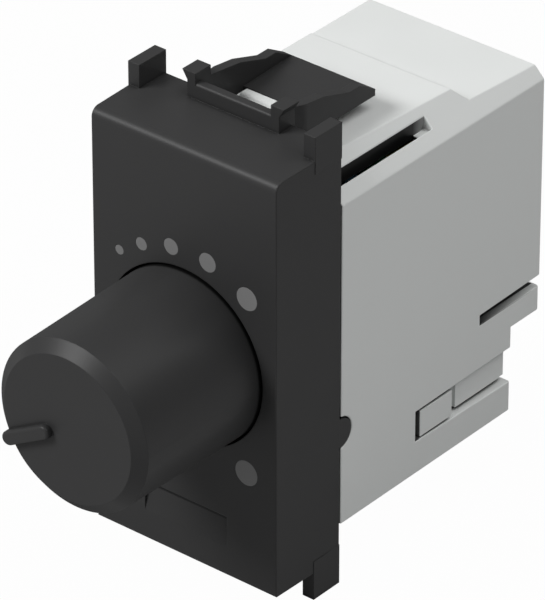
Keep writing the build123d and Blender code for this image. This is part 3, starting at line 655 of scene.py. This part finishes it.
dress(sprung_brass("terminal_brass", pillar_brass, roughness=0.34), "terminal_pillars")
screws_low, screws_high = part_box("terminal_screws")
one_screw = threaded_screw(screws_high.z - screws_low.z)
screws_depth = (screws_low.y + screws_high.y) / 2
all_screws = bmesh.new()
for x in (-terminal_pitch, 0, terminal_pitch):
    before = set(all_screws.verts)
    all_screws.from_mesh(one_screw)
    added = [v for v in all_screws.verts if v not in before]
    bmesh.ops.translate(all_screws, vec=(x, screws_depth, screws_low.z), verts=added)
crisp(all_screws, sharp_angle)
screw_mesh = bpy.data.meshes.new("slotted_screws")
all_screws.to_mesh(screw_mesh)
all_screws.free()
screws = new_piece("slotted_screws", screw_mesh, zinc_plating, "module")
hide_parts("terminal_screws")


# Housing and terminal block: light grey mouldings with a fine satin skin and
# finely rounded edges. The block snaps into the housing from the rear. Shade is
# painted into their deep slots and narrow gaps.

housing_grey = (0.75, 0.767, 0.757)
# Near-black painted shade, laid into deep slots and narrow gaps where little light reaches.
painted_shade_black = (0.004, 0.004, 0.004)
shelter_rays = 12
same_place = 0.000001
flat_angle = 1
housing_edge = 0.00013
block_edge = 0.0001

# Deep places given painted shade: their ranges of X, Y and Z, and how dark the painted shade is
# at their rear ends.
tongue_slot = (((0.00899, 0.01001), (0.009, 0.02256), (0.01, 0.0225)), 1)
slot_end = (((0.00899, 0.0091), (0.0225, 0.02417), (0.0169, 0.0225)), 0.6)
flex_slot = (((0.0, 0.0104), (0.0306, 0.0397), (-0.00724, -0.00578)), 1)
flex_slot_wall = (((0.0104, 0.01119), (0.03055, 0.0399), (-0.0071, -0.00578)), 0.1)
snap_gap = (((0.0095, 0.01113), (0.0207, 0.02149), (-0.0156, -0.0119)), 0.82)


def painted_shade_in(finish, ranges, fade):
    """Share of painted shade in a box of ranges, the same left and right, that fades to the
    rear.
    """
    place = along(finish)
    share = between(finish, place["Y"], 1, fade, ranges[1])
    aside = worked_out(finish, "ABSOLUTE", place["X"])
    for distance, (low, high) in zip((aside, place["Y"], place["Z"]), ranges):
        near = worked_out(finish, "COMPARE", distance, (low + high) / 2, (high - low) / 2)
        share = worked_out(finish, "MULTIPLY", share, near)
    return share


def crevice_shade(finish, reach, edges):
    """Share of painted shade: 1 deep in a narrow gap, where shade falls, and 0 on an open
    surface.
    """
    nodes = finish.node_tree.nodes
    shelter = nodes.new("ShaderNodeAmbientOcclusion")
    shelter.samples = shelter_rays
    shelter.inputs["Distance"].default_value = reach
    return between(finish, shelter.outputs["AO"], 1, 0, edges)


def grey_moulding(name, shade):
    """Satin grey skin, with painted shade where a slot or gap is deep and narrow."""
    finish = new_finish(name, roughness=0.5, specular=0.4)
    clouds = mottle(finish, size=0.006)
    to_shader(finish, "Base Color", mixed(finish, clouds, shade, shaded(shade, 1.02)))
    # Painted shade inside the tongue slots, the flex slot and the gap round the snap.
    for ranges, fade in (tongue_slot, slot_end, flex_slot, flex_slot_wall, snap_gap):
        paint_over(finish, painted_shade_in(finish, ranges, fade), painted_shade_black)
    # Painted shade in narrow crevices, darker the more closed in they are.
    paint_over(finish, crevice_shade(finish, reach=0.0009, edges=(0.2, 0.52)), painted_shade_black)
    to_shader(finish, "Roughness", between(finish, clouds, 0.46, 0.56))
    relief(finish, mottle(finish, size=0.00012, detail=2), height=0.000003)
    return finish


def rounded_edges(piece, width, clamped):
    """Rounds the sharp edges of a solid."""
    weld = piece.modifiers.new("one_skin", "WELD")
    weld.merge_threshold = same_place
    flat = piece.modifiers.new("flat_faces", "DECIMATE")
    flat.decimate_type = "DISSOLVE"
    flat.angle_limit = radians(flat_angle)
    edge = piece.modifiers.new("rounded_edges", "BEVEL")
    edge.width = width
    edge.segments = 2
    edge.limit_method = "ANGLE"
    edge.angle_limit = radians(sharp_angle)
    edge.use_clamp_overlap = clamped
    edge.harden_normals = True


dress(grey_moulding("housing_moulding", housing_grey), "housing", "terminal_block")
rounded_edges(parts["housing"], housing_edge, clamped=False)
rounded_edges(parts["terminal_block"], block_edge, clamped=True)


# Front cover: black moulding with a fine matt skin, in one with its corner tabs
# and its springy latch. The ears on its sides are let into the housing. A shadow
# line is painted under the top edge of the notch below the knob.

cover_black = (0.038, 0.038, 0.0384)
edge_softness = 0.00012
# Painted shadow along the top edge of the notch below the knob: its ranges, and how dark it
# stays at the rear.
notch_shadow = ((0, 0.00505), (0.00005, 0.0008), (-0.01662, -0.0159))
notch_shade = 0.5


def soft_edges(finish, radius):
    """Rounds the look of edges that are too fine for the mesh."""
    nodes = finish.node_tree.nodes
    edge = nodes.new("ShaderNodeBevel")
    edge.inputs["Radius"].default_value = radius
    to_shader(finish, "Normal", edge.outputs["Normal"])


def black_moulding(name, shade, roughness):
    """Matt skin with painted shade in narrow gaps, which shines less and less as it turns from
    the eye.
    """
    finish = new_finish(name, roughness=roughness, specular=0.19)
    nodes = finish.node_tree.nodes
    clouds = mottle(finish, size=0.005)
    to_shader(finish, "Base Color", mixed(finish, clouds, shaded(shade, 0.93), shade))
    # Painted shade in narrow crevices, darker the more closed in they are.
    paint_over(finish, crevice_shade(finish, reach=0.001, edges=(0.25, 0.75)), painted_shade_black)
    slant = nodes.new("ShaderNodeLayerWeight")
    slant.inputs["Blend"].default_value = 0.5
    sheen = between(finish, slant.outputs["Facing"], roughness, 0.95, (0.55, 0.95))
    to_shader(finish, "Roughness", sheen)
    soft_edges(finish, edge_softness)
    relief(finish, mottle(finish, size=0.0001, detail=2), height=0.000003)
    return finish


cover_finish = black_moulding("cover_moulding", cover_black, roughness=0.42)
# Painted shadow: a dark band under the top edge of the notch.
paint_over(cover_finish, painted_shade_in(cover_finish, notch_shadow, notch_shade), painted_shade_black)
dress(cover_finish, "front_cover")


# Scale: seven grey dots printed on the face round the knob. They grow
# clockwise, as the light does.

grey_print = grained_paint(
    "grey_print",
    dark=(0.19, 0.19, 0.19),
    light=(0.21, 0.21, 0.21),
    grain_size=0.00012,
    height=0.000004,
    roughness=0.6,
    specular=0.3,
)
dress(grey_print, "scale_dots")


# Knob: black moulding with a raised pointer, a little smoother than the cover.
# It is pushed onto the shaft and dips into its hole in the cover, where its
# skirt is darkened with painted shade.

knob_black = (0.037, 0.037, 0.0374)
# Depths over which the painted shade on the knob's skirt grows from none to full as it nears the
# cover's face.
rim_start = -0.0003
rim_dark = -0.00005

knob_finish = black_moulding("knob_moulding", knob_black, roughness=0.4)
# Painted shade on the skirt, where the knob dips into the cover's hole.
rim = between(knob_finish, along(knob_finish)["Y"], 0, 1, (rim_start, rim_dark))
paint_over(knob_finish, rim, painted_shade_black)
dress(knob_finish, "knob")


# Floor: a pale sheet under the module, nearly white to the eye, that keeps a
# soft shadow.

floor_half = 2.0
floor_shade = 0.45
floor_glow = 0.98
room_in_gloss = 0.15

floor_mesh = bpy.data.meshes.new("floor")
floor_height = solid_box[0].z
floor_corners = [
    (x * floor_half, y * floor_half, floor_height)
    for x, y in ((-1, -1), (1, -1), (1, 1), (-1, 1))
]
floor_mesh.from_pydata(floor_corners, [], [(0, 1, 2, 3)])
floor = bpy.data.objects.new("floor", floor_mesh)
bpy.context.scene.collection.objects.link(floor)


def seen_directly(finish):
    """1 for rays from the eye or through glass, less for a reflection."""
    rays = finish.node_tree.nodes.new("ShaderNodeLightPath").outputs
    glossy, straight = rays["Is Glossy Ray"], rays["Is Camera Ray"]
    seen = worked_out(finish, "MULTIPLY_ADD", glossy, room_in_gloss, straight)
    return worked_out(finish, "ADD", seen, rays["Is Transmission Ray"], clamp=True)


floor_finish = bpy.data.materials.new("floor_paper")
floor_finish.use_nodes = True
nodes, links = floor_finish.node_tree.nodes, floor_finish.node_tree.links
nodes.clear()
paper = nodes.new("ShaderNodeBsdfDiffuse")
paper.inputs["Color"].default_value = (floor_shade, floor_shade, floor_shade, 1)
white = nodes.new("ShaderNodeEmission")
white.inputs["Strength"].default_value = 1
glow = worked_out(floor_finish, "MULTIPLY", seen_directly(floor_finish), floor_glow)
surface = nodes.new("ShaderNodeMixShader")
links.new(glow, surface.inputs["Fac"])
links.new(paper.outputs["BSDF"], surface.inputs[1])
links.new(white.outputs["Emission"], surface.inputs[2])
output = nodes.new("ShaderNodeOutputMaterial")
links.new(surface.outputs["Shader"], output.inputs["Surface"])
floor_mesh.materials.append(floor_finish)


# Light: a large soft lamp from the front left and a softer one overhead, in a
# pale room that is white to the eye.

lamp_distance = 0.9
room_light = 0.13


def soft_lamp(name, direction, size, power):
    """Square lamp that shines at the module from a direction."""
    data = bpy.data.lights.new(name, "AREA")
    data.shape = "SQUARE"
    data.size = size
    data.energy = power
    lamp = bpy.data.objects.new(name, data)
    toward = Vector(direction).normalized()
    lamp.location = toward * lamp_distance
    lamp.rotation_mode = "QUATERNION"
    lamp.rotation_quaternion = toward.to_track_quat("Z", "Y")
    bpy.context.scene.collection.objects.link(lamp)


soft_lamp("front_lamp", direction=(-0.45, -0.62, 0.64), size=0.4, power=6.6)
soft_lamp("top_lamp", direction=(0.4, 0.18, 0.9), size=0.8, power=4.6)

room = bpy.data.worlds.new("pale_room")
bpy.context.scene.world = room
room.use_nodes = True
nodes, links = room.node_tree.nodes, room.node_tree.links
nodes.clear()
soft = nodes.new("ShaderNodeBackground")
soft.inputs["Color"].default_value = (1, 1, 1, 1)
soft.inputs["Strength"].default_value = room_light
plain = nodes.new("ShaderNodeBackground")
plain.inputs["Color"].default_value = (1, 1, 1, 1)
plain.inputs["Strength"].default_value = 1
both_rooms = nodes.new("ShaderNodeMixShader")
links.new(seen_directly(room), both_rooms.inputs["Fac"])
links.new(soft.outputs["Background"], both_rooms.inputs[1])
links.new(plain.outputs["Background"], both_rooms.inputs[2])
room_output = nodes.new("ShaderNodeOutputWorld")
links.new(both_rooms.outputs["Shader"], room_output.inputs["Surface"])


# Camera: a long lens far from the module, at its front right and above. It
# looks down on the face, the right side and the roof.

view_azimuth = radians(39.503)
view_elevation = radians(31.74)
view_distance = 0.6
view_right = 0.008205
view_up = 0.005143
lens_length = 386.6

back = Vector(
    (
        sin(view_azimuth) * cos(view_elevation),
        -cos(view_azimuth) * cos(view_elevation),
        sin(view_elevation),
    )
)
right = Vector((cos(view_azimuth), sin(view_azimuth), 0))
up = back.cross(right)
camera_data = bpy.data.cameras.new("camera")
camera_data.sensor_width = 36
camera_data.lens = lens_length
camera_data.clip_start = 0.01
camera_data.clip_end = 20
camera = bpy.data.objects.new("camera", camera_data)
camera.matrix_world = Matrix.Translation(
    back * view_distance + right * view_right + up * view_up
) @ Matrix((right, up, back)).transposed().to_4x4()
bpy.context.scene.collection.objects.link(camera)
bpy.context.scene.camera = camera
bpy.context.scene.view_settings.view_transform = "Standard"
